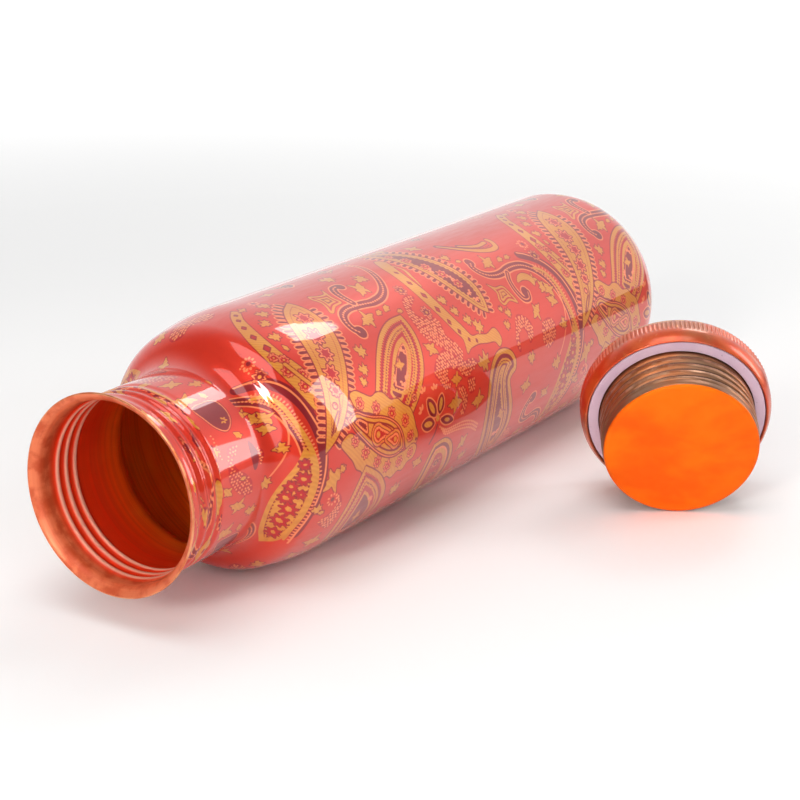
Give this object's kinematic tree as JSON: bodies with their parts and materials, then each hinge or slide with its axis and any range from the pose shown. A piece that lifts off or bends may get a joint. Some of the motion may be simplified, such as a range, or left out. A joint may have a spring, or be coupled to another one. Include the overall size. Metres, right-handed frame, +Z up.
{
  "type": "copper water bottle",
  "caption": "Copper water bottle in red lacquer with a gold paisley print, lying on its side, and its knurled screw lid with a threaded hollow plug and sealing ring standing beside it.",
  "frame": {"origin": "on the floor, under the middle of the box round bottle and lid", "axes": "+Z up, +X along the lying bottle from mouth to base, so the mouth faces -X and the lid stands on the -Y side"},
  "size_m": [0.259, 0.1467, 0.073],
  "materials": {
    "printed_lacquer": "gloss clear lacquer over a red and gold print",
    "bare_copper": "satin copper",
    "lacquered_cap": "gloss copper-orange lacquer",
    "plug_disc_copper": "matt bright copper",
    "aged_thread": "brown toned copper",
    "seal": "matt silicone"
  },
  "bodies": {
    "bottle": {"bottle_shell": "printed_lacquer", "base_plate": "bare_copper"},
    "seal_ring": {"sealing_gasket": "seal"},
    "lid": {"cap_shell": "lacquered_cap", "plug_cup": "aged_thread", "plug_end_disc": "plug_disc_copper"}
  },
  "joints": [
    {"name": "lid_lift", "type": "slide", "parent": "bottle", "child": "seal_ring", "axis": [0, 0, 1], "range_m": [0, 0.1]},
    {"name": "lid_turn", "type": "hinge", "parent": "seal_ring", "child": "lid", "pos_m": [0.03745, -0.0436, 0.02762], "axis": [0.8305, 0.4795, 0.2837], "continuous": true}
  ]
}
